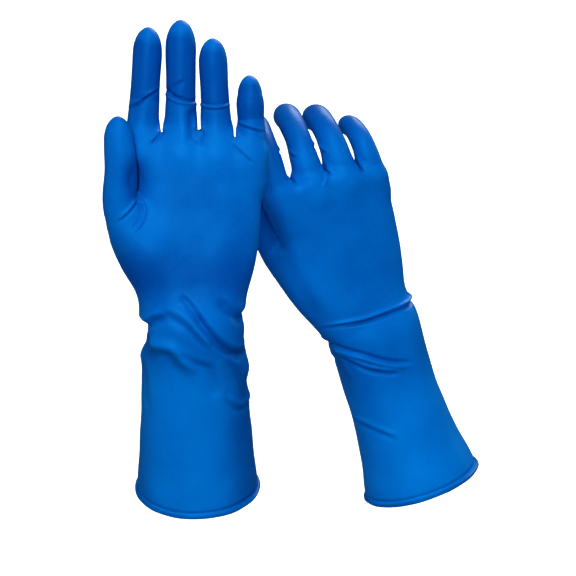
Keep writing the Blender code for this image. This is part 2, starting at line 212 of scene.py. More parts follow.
# ---- relief: place across and up the hand, radius, height; on the palm and on the back ----
PALM_SWELLS = [
    (1 * MM, 62 * MM, 22 * MM, -1.6 * MM),
    (-24 * MM, 44 * MM, 17 * MM, 1.4 * MM),
    (24 * MM, 38 * MM, 18 * MM, 1.2 * MM),
    (-33 * MM, 84 * MM, 8 * MM, -2.2 * MM),
]
BACK_SWELLS = [
    (2 * MM, 58 * MM, 24 * MM, 0.8 * MM),
    (-22 * MM, 70 * MM, 14 * MM, -0.6 * MM),
]
PAD_HEIGHT = 0.9 * MM
KNUCKLE_HEIGHT = 1.1 * MM
PAD_RADIUS = 8 * MM
PAD_DROP = 10 * MM  # below a finger's first hinge
FACING = 1.4  # how fast palm and back fade into the sides
FOLD_FACING = 1.6
UNDULATION = 0.35 * MM
UNDULATION_SIZE = 16 * MM

# ---- folds: width, rise, dip, and the path as (across, up) in mm, in the hand's or cuff's frame ----
FRONT, BACK = -1, 1  # along the glove's own Y
FOLD_FADE = 0.25  # of a fold's length, at each end
FOLD_END = 0.15  # of the fading that is left out at the very ends
FOLD_SPREAD = 0.62  # of its width
PATH_STEPS = 6
FOLDS = {
    "left": {
        "hand": [
            (FRONT, 1.5, 1.2, 1.3, [(-38, 127), (-31, 131.5), (-19.5, 139)]),
            (FRONT, 1.7, 1.1, 2.0, [(6, 130.5), (-2, 131), (-10, 133), (-17, 138)]),
            (FRONT, 2.4, 0.3, 0.5, [(-16, 138), (-11, 141), (-4, 145)]),
            (FRONT, 5.5, 0.6, 2.2, [(-1, 106), (-2, 117), (-2, 128)]),
            (FRONT, 1.3, 0.6, 0.6, [(24, 130.0), (14, 128.2), (4, 130.0)]),
            (FRONT, 1.3, 0.6, 0.6, [(4, 128.8), (14, 127.0), (24, 128.8)]),
            (FRONT, 1.5, 0.8, 1.0, [(27, 118.5), (35, 115.5), (44, 113)]),
            (FRONT, 1.4, 0.3, 0.8, [(24, 107), (30, 101), (38, 94)]),
            (FRONT, 1.8, 1.0, 1.4, [(-25, 106), (-21.5, 109.5), (-17, 114.5)]),
            (FRONT, 3.0, 0.1, 1.2, [(2, 105), (4, 110), (6, 115)]),
            (FRONT, 1.6, 1.2, 0.8, [(-44, 60), (-37, 66), (-32, 73)]),
            (FRONT, 1.6, 1.2, 0.9, [(-32, 74), (-29, 67), (-30, 61), (-35, 54)]),
        ],
        "cuff": [
            (FRONT, 4.2, 2.0, 1.0, [(-18, 133), (-9, 130.5), (-2, 126.5), (4, 120.5), (11, 111)]),
            (FRONT, 3.0, 0.3, 1.1, [(-6, 142), (2, 135), (9, 126)]),
            (FRONT, 4.0, 0.8, 3.4, [(2, 135), (9, 126), (15, 118), (22, 109.5), (36, 96)]),
            (FRONT, 3.0, 0.9, 2.6, [(-40, 116), (-29, 121.5), (-24, 127), (-15, 131.5)]),
            (FRONT, 6.5, 2.6, 1.4, [(-44, 99), (-30, 104), (-20, 109), (-14, 109), (-8, 103), (-1, 93)]),
            (FRONT, 4.0, 0.5, 0.8, [(-7, 111), (1, 105), (12, 100)]),
            (FRONT, 5.0, 0.5, 1.2, [(12, 102), (15, 91), (17, 78)]),
            (FRONT, 4.0, 0.8, 2.2, [(17, 140), (25, 131), (36, 118)]),
            (FRONT, 4.0, 0.4, 0.9, [(-30, 98), (-28, 84), (-27, 64)]),
            (FRONT, 3.0, 0.9, 1.1, [(22, 104), (30, 84), (34, 62)]),
            (FRONT, 3.0, 0.7, 0.8, [(19, 78), (28, 66), (40, 60)]),
            (BACK, 4.0, 1.4, 2.0, [(-40, 112), (-12, 121), (10, 117), (38, 104)]),
            (BACK, 3.6, 1.2, 1.8, [(-38, 100), (-10, 104), (14, 112), (34, 124)]),
            (BACK, 3.6, 0.8, 1.1, [(-30, 86), (-6, 92), (16, 90)]),
        ],
    },
    "right": {
        "hand": [
            (FRONT, 1.7, 0.7, 0.6, [(-19, 133), (-14, 131), (-10, 127)]),
            (FRONT, 1.7, 0.7, 0.6, [(2, 129), (6, 126), (9, 121)]),
            (FRONT, 1.6, 0.8, 0.5, [(7, 114), (2, 111.5), (-4, 107)]),
            (FRONT, 8.0, 0.2, 1.3, [(-31, 108), (-35, 88), (-36, 70), (-35, 55), (-33, 42), (-27, 19)]),
        ],
        "cuff": [
            (FRONT, 2.2, 1.7, 2.0, [(-34, 125.5), (-20, 124), (-9, 122), (11, 120.5), (26, 119), (42, 120)]),
            (FRONT, 2.4, 1.4, 1.8, [(14, 83), (-1, 89.5), (-9, 94.5), (-17, 100.5), (-26, 106), (-38, 114)]),
            (FRONT, 2.4, 1.0, 1.6, [(-32, 105), (-24, 98.5), (-18, 93), (-9, 87.5), (3, 82)]),
            (FRONT, 2.6, 0.9, 0.9, [(-31, 110), (-30, 99), (-28, 86)]),
            (FRONT, 3.0, 0.7, 0.7, [(-33, 60), (-22, 50), (-13, 42)]),
            (BACK, 3.6, 1.4, 1.9, [(-40, 114), (-14, 108), (10, 112), (38, 121)]),
            (BACK, 3.4, 1.1, 1.5, [(-32, 98), (-8, 99), (18, 92)]),
        ],
    },
}
DENTS = {  # in the cuff's frame and in mm: the centre, the radius and the height
    "left": [
        ((-33, -5, 109), 7.0, -9.5),
        ((-33, 6, 109), 7.0, -7.0),
        ((-31, -15, 109), 7.0, -5.0),
        ((-33, -2, 123), 5.0, 1.0),
        ((-33, -2, 95), 6.0, 1.4),
        ((32, -4, 121), 4.0, -1.2),
        ((32, -4, 88), 6.0, 1.6),
        ((33, 0, 76), 5.0, -1.2),
        ((34, 0, 64), 5.0, 1.0),
    ],
    "right": [
        ((33, -2, 121), 4.0, 1.2),
        ((-34, -4, 95), 13.0, -3.0),
        ((-33, 0, 70), 7.0, 0.8),
    ],
}

# ---- tone: from 0, the deep colour, to 1, the light one, and what is added to it where, mostly painted light and shade ----
PLAIN_TONE = 0.50
RIDGE_LIGHT_HOLLOW_SHADE = 0.10  # for each mm of height: painted light on ridges and painted shade in hollows, partly also paler stretched latex on ridges
# painted light: the cuff made paler below the wrist
CUFF_PAINTED_LIGHT = 0.48
CUFF_LIGHT_START = 18 * MM  # below the wrist
CUFF_LIGHT_FADE = 30 * MM
# painted shade on the heel of the palm
HEEL_PAINTED_SHADE = -0.55
HEEL_SHADE_PLACE = 28 * MM  # above the wrist
HEEL_SHADE_REACH = 20 * MM
PAD_PAINTED_SHADE = -0.62  # painted shade on the fingers' palm side, above their middle hinges
PAD_SHADE_FADES = (0.06, 0.90, 0.32)  # where it comes in, ends and fades, as shares up to the tip
# painted shade on the fingers, from a little below their middle hinges to the tips
FINGER_PAINTED_SHADE = -0.22
# painted light on the fingertips, growing towards the apex
APEX_PAINTED_LIGHT = 0.35
APEX_LIGHT_START = 0.75
PAINTED_LIGHT_AND_SHADE_SPOTS = {  # painted light and shade, in the hand's frame and in mm: across, up, the reach both ways and the change; shade beside the left thumb, on the cuffs' edges and across the right cuff, light on the right hand's thumb side
    "left": [(-33, 84, 6, 15, -0.55), (34, -80, 13, 70, -0.8), (-36, -85, 9, 60, -0.4)],
    "right": [(40, -60, 12, 60, -0.3), (0, -75, 30, 55, -0.12), (-24, 62, 14, 60, 0.2)],
}

# ---- camera and studio ----
ELEVATION = math.radians(27)
DISTANCE = 1.7
TARGET = Vector((0.0567, 0.0149, 0.1327))
PIXELS = 576
PIXEL_SIZE = 0.61 * MM  # at the target
SENSOR = 36.0
FLOOR_DROP = 0.30
SWEEP_RINGS = ((6.0, 0.0), (7.5, 0.6), (8.0, 2.0), (8.0, 9.0))  # the floor's reach and rise, all round
SWEEP_STEPS = 32


# ---------------------------------------------------------------- small geometry helpers


def unit(vector):
    return vector / np.linalg.norm(vector)


def without(vector, direction):
    """What is left of a vector across a direction."""
    return vector - direction * (vector @ direction)


def smooth_step(values):
    share = np.clip(values, 0, 1)
    return share * share * (3 - 2 * share)


def soft_min(a, b, softness):
    """The smaller of two distances, rounded where they meet."""
    mix = np.clip(0.5 + 0.5 * (b - a) / softness, 0, 1)
    return b + (a - b) * mix - softness * mix * (1 - mix)


def soft_max(a, b, softness):
    return -soft_min(-a, -b, softness)


def curve_through(keys, values, at):
    """A smooth curve through rows of values, read at any key."""
    keys, values = np.asarray(keys, float), np.asarray(values, float)
    slopes = np.gradient(values, keys, axis=0)
    at = np.clip(at, keys[0], keys[-1])
    cell = np.clip(np.searchsorted(keys, at, side="right") - 1, 0, len(keys) - 2)
    span = (keys[cell + 1] - keys[cell])[:, None]
    t = (at - keys[cell])[:, None] / span
    start = (2 * t**3 - 3 * t**2 + 1) * values[cell] + (t**3 - 2 * t**2 + t) * span * slopes[cell]
    end = (3 * t**2 - 2 * t**3) * values[cell + 1] + (t**3 - t**2) * span * slopes[cell + 1]
    return start + end


def smooth_path(points, steps):
    """A smooth path through a few points, with as many steps between any two."""
    points = np.asarray(points, float)
    reach = np.linalg.norm(np.diff(points[:, :3], axis=0), axis=1)
    keys = np.concatenate(([0], np.cumsum(reach)))
    numbers = np.linspace(0, len(points) - 1, steps * (len(points) - 1) + 1)
    return curve_through(keys, points, np.interp(numbers, np.arange(len(points)), keys))


def node_points(node):
    mesh = frame["nodes"][node].data
    points = np.empty(len(mesh.vertices) * 3)
    mesh.vertices.foreach_get("co", points)
    return points.reshape(-1, 3)


def joint_point(name):
    return np.array(JOINTS[name]["pos_m"], float)


def joint_axis(name):
    return unit(np.array(JOINTS[name]["axis"], float))


class Place:
    """A frame of its own: X across the glove, Y through it, Z up it."""

    def __init__(self, origin, across, up):
        self.origin = origin
        self.axes = np.column_stack((across, np.cross(up, across), up))

    def inside(self, points):
        return (points - self.origin) @ self.axes

    def outside(self, points):
        return np.asarray(points) @ self.axes.T + self.origin


# ---------------------------------------------------------------- the skeleton, from the frame


def hand_place(side, palm):
    """The hand's frame, from the wrist's hinge and the finger roots."""
    across = -palm * joint_axis(f"{side}_wrist")
    wrist = joint_point(f"{side}_wrist")
    roots = [joint_point(f"{side}_{finger}_root") for finger in FINGERS]
    up = without(np.mean(roots, axis=0) - wrist, across)
    depth = unit(np.cross(up, across))
    shift = HINGE_TO_PALM * np.mean([RADII[finger][0] for finger in FINGERS])
    return Place(wrist, across, unit(up - palm * shift * depth))


def cuff_place(side, palm, hand):
    """The cuff's frame, from the bead to the wrist."""
    bead = node_points(f"{side}_rolled_bead").mean(axis=0)
    up = unit(hand.origin - bead)
    across = unit(without(hand.axes[:, 0], up))
    return Place(bead, across, up)


class Stall:
    """The core of a thumb or finger: a smooth line with a radius along it."""

    def __init__(self, side, name, palm, hand):
        stretches = STRETCHES[name]
        joints = ["root", "middle", "tip"][: len(stretches)]
        self.name = name
        self.hinges = [joint_point(f"{side}_{name}_{joint}") for joint in joints]
        turn = palm if name == "thumb" else -palm
        across = turn * joint_axis(f"{side}_{name}_root")
        tip = node_points(f"{side}_{name}_tip")
        last = tip[np.argmax(np.linalg.norm(tip - self.hinges[-1], axis=1))]
        ends = self.hinges[1:] + [last]
        starts, tops = [], []
        for step, (low, high) in enumerate(zip(self.hinges, ends)):
            shift = HINGE_TO_PALM * RADII[name][step]
            run = without(high - low, across)
            up = unit(run)
            if step == len(ends) - 1:
                for _ in range(3):
                    up = unit(run + palm * shift * np.cross(up, across))
            back = -palm * shift * np.cross(up, across)
            starts.append(low + back)
            tops.append(high if step == len(ends) - 1 else high + back)
        middles = [starts[0]]
        middles += [(top + start) / 2 for top, start in zip(tops, starts[1:])]
        radii = [GIRTH[side][name] * radius for radius in RADII[name]]
        stations = middles + [last]
        for number, (sideways, palmward) in enumerate(LEANS[side].get(name, [])):
            lean = hand.axes[:, :2] @ (sideways * MM, palm * palmward * MM)
            stations[number] = stations[number] + lean
        *middles, last = stations
        run = unit(last - middles[-1])
        long = TIP_LENGTH**2 - 1
        rises = np.linspace(0, long / TIP_LENGTH, TIP_STEPS)
        taper = [last - (TIP_LENGTH - rise) * radii[-1] * run for rise in rises]
        narrowed = [radii[-1] * math.sqrt(1 - rise**2 / long) for rise in rises]
        if name == "thumb":
            root = hand.outside(MOUND_FOOT * np.array((1, -palm, 1)))
            first = MOUND_RADIUS
        else:
            root = middles[0] - ROOT_DEPTH * hand.axes[:, 2]
            first = ROOT_TAPER * radii[0]
        rows = np.column_stack(
            (np.array([root] + middles + taper), [first] + radii[:-1] + narrowed)
        )
        path = smooth_path(rows, CORE_STEPS)
        self.points, self.radii = path[:, :3], path[:, 3]
        self.middles = middles + [last]

    def distance(self, points):
        """How far points are from the stall's surface; far points only get a lower limit."""
        reach = self.radii.max() + SOFT_MOUND + MARGIN
        low = self.points.min(axis=0) - reach
        high = self.points.max(axis=0) + reach
        near = np.all((points > low) & (points < high), axis=1)
        result = np.full(len(points), SOFT_MOUND + MARGIN)
        some = points[near]
        best = np.full(len(some), 1.0)
        for a, b, ra, rb in zip(self.points, self.points[1:], self.radii, self.radii[1:]):
            run = b - a
            t = np.clip((some - a) @ run / (run @ run), 0, 1)
            gap = np.linalg.norm(some - a - t[:, None] * run, axis=1) - (ra + (rb - ra) * t)
            best = np.minimum(best, gap)
        result[near] = best
        return result


def tube_distance(inside, middle, half, depth, power):
    """About how far points are from a tube with a squarish section."""
    u = np.abs(inside[:, 0] - middle) / half
    v = np.abs(inside[:, 1]) / depth
    size = np.maximum((u**power + v**power) ** (1 / power), 1e-3)
    slope = size ** (1 - power) * np.hypot(u ** (power - 1) / half, v ** (power - 1) / depth)
    return (size - 1) / np.maximum(slope, 1e-3)


class Glove:
    def __init__(self, side):
        palm = SIDES[side]
        self.side, self.palm = side, palm
        self.hand = hand_place(side, palm)
        self.cuff = cuff_place(side, palm, self.hand)
        self.cuff_length = np.linalg.norm(self.hand.origin - self.cuff.origin)
        self.stalls = {name: Stall(side, name, palm, self.hand) for name in STALLS}
        roots = self.hand.inside(np.array([self.stalls[f].hinges[0] for f in FINGERS]))
        tops = roots[:, 2] + WEB_HEIGHTS[side]
        (first_out, first_up), (last_out, last_up) = WEB_ENDS
        self.web = (
            np.concatenate(([roots[0, 0] + first_out], roots[:, 0], [roots[3, 0] + last_out])),
            np.concatenate(([tops[0] + first_up], tops, [tops[3] + last_up])),
        )
        self.least_gap = MESHED_GAP

    def along_tube(self, points):
        """Where points are in the straightened tube of cuff and palm, measured from the wrist."""
        low = self.cuff.inside(points) - (0, 0, self.cuff_length)
        high = self.hand.inside(points)
        middle = (low[:, 2] + high[:, 2]) / 2
        bend = smooth_step(0.5 + middle / (2 * WRIST_BEND_REACH))[:, None]
        return low + (high - low) * bend

    def tube_rings(self):
        rings = []
        for share, half, depth, power in CUFF_RINGS:
            slim = 1 - CUFF_SLIMNESS[self.side] * math.sin(math.pi * min(max(share, 0), 1))
            half, depth = half * slim, depth * slim
            rings.append(((share - 1) * self.cuff_length, -half, half, depth, depth, power))
        return np.array(rings + PALM_RINGS[self.side])

    def body_distance(self, points):
        """Cuff and palm, closed along the webs."""
        inside = self.along_tube(points)
        rings = self.tube_rings()
        low, high, front, back, power = curve_through(rings[:, 0], rings[:, 1:], inside[:, 2]).T
        depth = np.where(inside[:, 1] * self.palm > 0, front, back)
        tube = tube_distance(inside, (low + high) / 2, (high - low) / 2, depth, power)
        tube = np.maximum(tube, rings[0, 0] - inside[:, 2])
        top = inside[:, 2] - np.interp(inside[:, 0], *self.web)
        return soft_max(tube, top, WEB_ROUNDING)

    def distance(self, points):
        """The field whose zero level is the glove's outer face."""
        across, _, height = self.hand.inside(points).T
        thumb = self.stalls["thumb"].distance(points)
        fingers = [self.stalls[finger].distance(points) for finger in FINGERS]
        body = self.body_distance(points)
        past_web = height - np.interp(across, *self.web) - SLIT_START
        softness = SOFT_FINGERS + (SOFT_WEB - SOFT_FINGERS) * smooth_step(1 - past_web / WEB_FADE)
        for finger in fingers:
            body = soft_min(body, finger, softness)
        for near, far in zip(fingers, fingers[1:]):
            slit = np.minimum(max(FINGER_GAP, self.least_gap) - np.abs(near - far), 2 * past_web)
            slit = np.minimum(slit / 2, SOFT_WEB - np.maximum(near, far))
            body = soft_max(body, slit, SOFT_GAP)
        above = smooth_step((height - THUMB_CROTCH[self.side] + CROTCH_DROP) / CROTCH_RISE)
        clearance = max(THUMB_GAP, self.least_gap) - thumb - (1 - above) * PARTED_DEPTH
        body = soft_max(body, clearance, SOFT_THUMB)
        return soft_min(body, thumb, SOFT_MOUND + (SOFT_THUMB - SOFT_MOUND) * above)

    def direction(self, points):
        """The field's slope."""
        slopes = [
            self.distance(points + SLOPE_STEP * axis) - self.distance(points - SLOPE_STEP * axis)
            for axis in np.eye(3)
        ]
        return np.column_stack(slopes) / (2 * SLOPE_STEP)


# ---------------------------------------------------------------- meshing


def meshed(distance, low, high, pitch):
    """Quads along the zero level of a field, one point in each grid cell that the level crosses."""
    axes = [np.arange(a, b + pitch, pitch) for a, b in zip(low, high)]
    shape = [len(axis) for axis in axes]
    grid = np.stack(np.meshgrid(*axes, indexing="ij"), axis=-1).reshape(-1, 3)
    values = distance(grid).reshape(shape)
    inner = values < 0
    cells = [size - 1 for size in shape]
    corner_count = np.zeros(cells, int)
    for i, j, k in itertools.product((0, 1), repeat=3):
        corner_count += inner[i : i + cells[0], j : j + cells[1], k : k + cells[2]]
    active = (corner_count > 0) & (corner_count < 8)
    index = np.full(cells, -1)
    index[active] = np.arange(active.sum())
    base = np.argwhere(active)
    total = np.zeros((len(base), 3))
    hits = np.zeros(len(base))
    for axis in range(3):
        others = [other for other in range(3) if other != axis]
        for pair in itertools.product((0, 1), repeat=2):
            start = base.copy()
            start[:, others] += pair
            end = start.copy()
            end[:, axis] += 1
            a, b = values[tuple(start.T)], values[tuple(end.T)]
            crossed = (a < 0) != (b < 0)
            share = a[crossed] / (a[crossed] - b[crossed])
            place = start[crossed].astype(float)
            place[:, axis] += share
            total[crossed] += place
            hits += crossed
    points = np.array([axis[0] for axis in axes]) + pitch * total / hits[:, None]
    faces = []
    for axis in range(3):
        b, c = (axis + 1) % 3, (axis + 2) % 3
        first = [slice(None)] * 3
        second = [slice(None)] * 3
        first[axis], second[axis] = slice(None, -1), slice(1, None)
        crossed = np.argwhere(inner[tuple(first)] != inner[tuple(second)])
        crossed = crossed[(crossed[:, b] > 0) & (crossed[:, c] > 0)]
        crossed = crossed[(crossed[:, b] < cells[b]) & (crossed[:, c] < cells[c])]
        corners = []
        for db, dc in ((0, 0), (-1, 0), (-1, -1), (0, -1)):
            cell = crossed.copy()
            cell[:, b] += db
            cell[:, c] += dc
            corners.append(index[tuple(cell.T)])
        quads = np.column_stack(corners)
        outward = inner[tuple(crossed.T)]
        quads[~outward] = quads[~outward][:, ::-1]
        faces.append(quads)
    return points, np.concatenate(faces)


def refined(points, faces):
    """Each quad split into four."""
    count = len(points)
    edges = np.sort(np.stack((faces, np.roll(faces, -1, axis=1)), axis=-1).reshape(-1, 2), axis=1)
    keys, edge_of = np.unique(edges[:, 0] * count + edges[:, 1], return_inverse=True)
    middles = (points[keys // count] + points[keys % count]) / 2
    centres = points[faces].mean(axis=1)
    edge_of = edge_of.reshape(faces.shape) + count
    centre_of = np.arange(len(faces)) + count + len(keys)
    quads = [
        np.column_stack((faces[:, corner], edge_of[:, corner], centre_of, edge_of[:, corner - 1]))
        for corner in range(4)
    ]
    return np.concatenate((points, middles, centres)), np.concatenate(quads)


def neighbours_mean(points, faces):
    """The mean of each point's neighbours."""
    starts = faces.ravel()
    ends = np.roll(faces, -1, axis=1).ravel()
    count = np.bincount(starts, minlength=len(points)) + np.bincount(ends, minlength=len(points))
    total = np.empty_like(points)
    for axis in range(3):
        total[:, axis] = np.bincount(starts, points[ends, axis], len(points))
        total[:, axis] += np.bincount(ends, points[starts, axis], len(points))
    return total / np.maximum(count, 1)[:, None]


def normals_of(points, faces):
    """Each point's normal, from the faces around it."""
    diagonals = np.cross(
        points[faces[:, 2]] - points[faces[:, 0]], points[faces[:, 3]] - points[faces[:, 1]]
    )
    total = np.zeros_like(points)
    for axis in range(3):
        for corner in range(4):
            total[:, axis] += np.bincount(faces[:, corner], diagonals[:, axis], len(points))
    return total / np.maximum(np.linalg.norm(total, axis=1), 1e-12)[:, None]


# ---------------------------------------------------------------- creases and relief


def fold_height(flat, width, rise, dip, path):
    """A ridge beside a hollow along a path, fading out at both ends."""
    line = smooth_path(path, PATH_STEPS)
    runs = np.diff(line, axis=0)
    lengths = np.linalg.norm(runs, axis=1)
    before = np.concatenate(([0], np.cumsum(lengths)))
    nearest = np.full(len(flat), np.inf)
    signed = np.zeros(len(flat))
    share = np.zeros(len(flat))
    for start, run, length, done in zip(line, runs, lengths, before):
        t = np.clip((flat - start) @ run / length**2, 0, 1)
        away = flat - start - t[:, None] * run
        gap = np.linalg.norm(away, axis=1)
        closer = gap < nearest
        nearest[closer] = gap[closer]
        side = np.sign(run[0] * away[:, 1] - run[1] * away[:, 0])
        signed[closer] = (side * gap)[closer]
        share[closer] = ((done + t * length) / before[-1])[closer]
    fade = smooth_step(np.minimum(share, 1 - share) / FOLD_FADE + FOLD_END)
    spread = FOLD_SPREAD * width
    ridge = np.exp(-(((signed - width / 2) / spread) ** 2))
    hollow = np.exp(-(((signed + width / 2) / spread) ** 2))
    return fade * (rise * ridge - dip * hollow)


def swell_height(flat, across, up, radius, height):
    gap = np.hypot(flat[:, 0] - across, flat[:, 1] - up)
    return height * np.exp(-((gap / radius) ** 2))


def relief(glove, points, normals):
    """How far each point of the skin is pushed out."""
    places = {"hand": glove.hand, "cuff": glove.cuff}
    height = np.zeros(len(points))
    for name, folds in FOLDS[glove.side].items():
        place = places[name]
        flat = place.inside(points)[:, [0, 2]]
        facing = normals @ place.axes[:, 1]
        for toward, width, rise, dip, path in folds:
            shown = smooth_step(0.5 + FOLD_FACING * facing * toward)
            path = np.array(path) * MM
            height += shown * fold_height(flat, width * MM, rise * MM, dip * MM, path)
    above_bead = glove.cuff.inside(points)[:, 2]
    height -= NECK_DEPTH * np.exp(-(((above_bead - NECK_HEIGHT) / NECK_SPREAD) ** 2))
    for centre, radius, bump in DENTS[glove.side]:
        gap = np.linalg.norm(glove.cuff.inside(points) - np.array(centre) * MM, axis=1)
        height += bump * MM * np.exp(-((gap / (radius * MM)) ** 2))
    flat = glove.hand.inside(points)[:, [0, 2]]
    facing = normals @ glove.hand.axes[:, 1] * glove.palm
    roots = [glove.hand.inside(glove.stalls[f].hinges[0]) for f in FINGERS]
    faces_of_hand = (
        (smooth_step(FACING * facing), PALM_SWELLS, PAD_HEIGHT),
        (smooth_step(-FACING * facing), BACK_SWELLS, KNUCKLE_HEIGHT),
    )
    for shown, swells, bump in faces_of_hand:
        bumps = [(root[0], root[2] - PAD_DROP, PAD_RADIUS, bump) for root in roots]
        for swell in swells + bumps:
            height += shown * swell_height(flat, *swell)
    waves = [noise.noise(Vector(point) / UNDULATION_SIZE) for point in points.tolist()]
    return height + UNDULATION * np.array(waves)


def latex_tone_with_painted_light(glove, points, normals, height, stall_gap):
    """The latex's tone with painted light and shade added: painted light on the cuff and fingertips, painted
    shade on pads, fingers and heel, and painted light on ridges with painted shade in hollows, partly also
    paler stretched latex.
    """
    up_hand = glove.hand.inside(points)
    on_palm = smooth_step(FACING * (normals @ glove.hand.axes[:, 1]) * glove.palm)
    # painted light on ridges and painted shade in hollows, partly also paler stretched latex on ridges
    tone = PLAIN_TONE + RIDGE_LIGHT_HOLLOW_SHADE * np.clip(height / MM, -2, 2)
    # painted light on the cuff
    tone += CUFF_PAINTED_LIGHT * smooth_step((-up_hand[:, 2] - CUFF_LIGHT_START) / CUFF_LIGHT_FADE)
    # painted shade on the heel of the palm
    tone += HEEL_PAINTED_SHADE * on_palm * np.exp(-(((up_hand[:, 2] - HEEL_SHADE_PLACE) / HEEL_SHADE_REACH) ** 2))
    pad_in, pad_out, pad_fade = PAD_SHADE_FADES
    for number, name in enumerate(STALLS[1:], start=1):
        start, end = glove.stalls[name].middles[1], glove.stalls[name].middles[-1]
        share = (points - start) @ (end - start) / ((end - start) @ (end - start))
        pad = smooth_step(share / pad_in + 0.5) * smooth_step((pad_out - share) / pad_fade)
        near = smooth_step(1.5 - stall_gap[number] / MM)
        # painted shade on the fingers' pads and along the fingers
        tone += (PAD_PAINTED_SHADE * on_palm * pad + FINGER_PAINTED_SHADE * smooth_step(share * 3 + 1.5)) * near
        # painted light on the fingertips
        tone += APEX_PAINTED_LIGHT * smooth_step((share - APEX_LIGHT_START) / (1 - APEX_LIGHT_START)) * near
    # painted light and shade spots: shadow beside the thumb, shaded cuff edges, light on the right thumb
    # side
    for across, up, wide, tall, change in PAINTED_LIGHT_AND_SHADE_SPOTS[glove.side]:
        aside = (up_hand[:, 0] / MM - across) / wide
        above = (up_hand[:, 2] / MM - up) / tall
        tone += change * np.exp(-(aside**2 + above**4))
    return tone


# ---------------------------------------------------------------- where the pieces part


class Zone:
    """The stretch of skin that turns with a joint, between two bodies."""

    def __init__(self, start, end, low_body, high_body):
        self.start, self.end = start, end
        self.bodies = (low_body, high_body)
        self.length = np.linalg.norm(end - start)

    def beyond(self, points, share=0.0):
        run = self.end - self.start
        return (points - self.start) @ run / self.length**2 > share


def stall_zones(side, stall, hand):
    """A stall's zones, from its root to its tip."""
    name = stall.name
    bodies = [f"{side}_hand"] + [f"{side}_{name}_{stretch}" for stretch in STRETCHES[name]]
    m = stall.middles

    def along(step, share):
        return m[step] + (m[step + 1] - m[step]) * share

    def past(step, length):
        return m[step] + unit(m[step + 1] - m[step]) * length

    if name == "thumb":
        spans = [
            (past(0, THUMB_ROOT_ZONE[0]), past(0, THUMB_ROOT_ZONE[1])),
            (along(0, 1 - THUMB_TIP_ZONE[0]), along(1, THUMB_TIP_ZONE[1])),
        ]
    else:
        spans = [
            (past(0, ROOT_START), along(0, ROOT_END)),
            (along(0, MIDDLE_START), along(1, MIDDLE_END)),
            (along(1, 1 - TIP_START), along(2, TIP_END)),
        ]
    return [Zone(*span, *pair) for span, pair in zip(spans, zip(bodies, bodies[1:]))]


def wrist_zone(glove):
    low = glove.hand.origin - WRIST_ZONE * glove.cuff.axes[:, 2]
    high = glove.hand.origin + WRIST_ZONE * glove.hand.axes[:, 2]
    return Zone(low, high, f"{glove.side}_cuff", f"{glove.side}_hand")


# ---------------------------------------------------------------- materials


def latex(name, light, deep, roughness, grain):
    """Satin dipped latex: cloudy colour, a fine powdery grain and a soft sheen."""
    material = bpy.data.materials.new(name)
    material.use_nodes = True
    nodes, links = material.node_tree.nodes, material.node_tree.links
    shader = nodes["Principled BSDF"]
    place = nodes.new("ShaderNodeTexCoord")

    def cloud(scale, detail):
        node = nodes.new("ShaderNodeTexNoise")
        node.inputs["Scale"].default_value = scale
        node.inputs["Detail"].default_value = detail
        links.new(place.outputs["Object"], node.inputs["Vector"])
        return node

    def ranged(source, low, high):
        node = nodes.new("ShaderNodeMapRange")
        node.inputs["From Min"].default_value = 0.3
        node.inputs["From Max"].default_value = 0.7
        node.inputs["To Min"].default_value = low
        node.inputs["To Max"].default_value = high
        links.new(source, node.inputs["Value"])
        return node

    # the tone attribute: the latex's own tone with painted light and shade added
    tone = nodes.new("ShaderNodeAttribute")
    tone.attribute_name = "tone"
    blotch = ranged(cloud(26, 3).outputs["Fac"], -0.16, 0.16)
    mottle = ranged(cloud(420, 4).outputs["Fac"], -0.05, 0.05)
    first = nodes.new("ShaderNodeMath")
    first.operation = "ADD"
    links.new(tone.outputs["Fac"], first.inputs[0])
    links.new(blotch.outputs["Result"], first.inputs[1])
    second = nodes.new("ShaderNodeMath")
    second.operation = "ADD"
    second.use_clamp = True
    links.new(first.outputs["Value"], second.inputs[0])
    links.new(mottle.outputs["Result"], second.inputs[1])
    mix = nodes.new("ShaderNodeMix")
    mix.data_type = "RGBA"
    mix.inputs["A"].default_value = (*deep, 1)
    mix.inputs["B"].default_value = (*light, 1)
    links.new(second.outputs["Value"], mix.inputs["Factor"])
    links.new(mix.outputs["Result"], shader.inputs["Base Color"])

    gloss = ranged(cloud(60, 5).outputs["Fac"], roughness - 0.06, roughness + 0.07)
    links.new(gloss.outputs["Result"], shader.inputs["Roughness"])
    shader.inputs["IOR"].default_value = 1.50
    shader.inputs["Specular IOR Level"].default_value = 0.40
    shader.inputs["Specular Tint"].default_value = (0.02, 0.45, 1.0, 1)
    shader.inputs["Sheen Weight"].default_value = 0.02
    shader.inputs["Sheen Roughness"].default_value = 0.35
    shader.inputs["Sheen Tint"].default_value = (0.15, 0.75, 1.0, 1)

    fine = nodes.new("ShaderNodeBump")
    fine.inputs["Strength"].default_value = grain
    fine.inputs["Distance"].default_value = 0.05 * MM
    links.new(cloud(1900, 2).outputs["Fac"], fine.inputs["Height"])
    soft = nodes.new("ShaderNodeBump")
    soft.inputs["Strength"].default_value = 0.5
    soft.inputs["Distance"].default_value = 0.35 * MM
    links.new(cloud(150, 3).outputs["Fac"], soft.inputs["Height"])
    links.new(fine.outputs["Normal"], soft.inputs["Normal"])
    links.new(soft.outputs["Normal"], shader.inputs["Normal"])
    return material


# ---------------------------------------------------------------- pieces


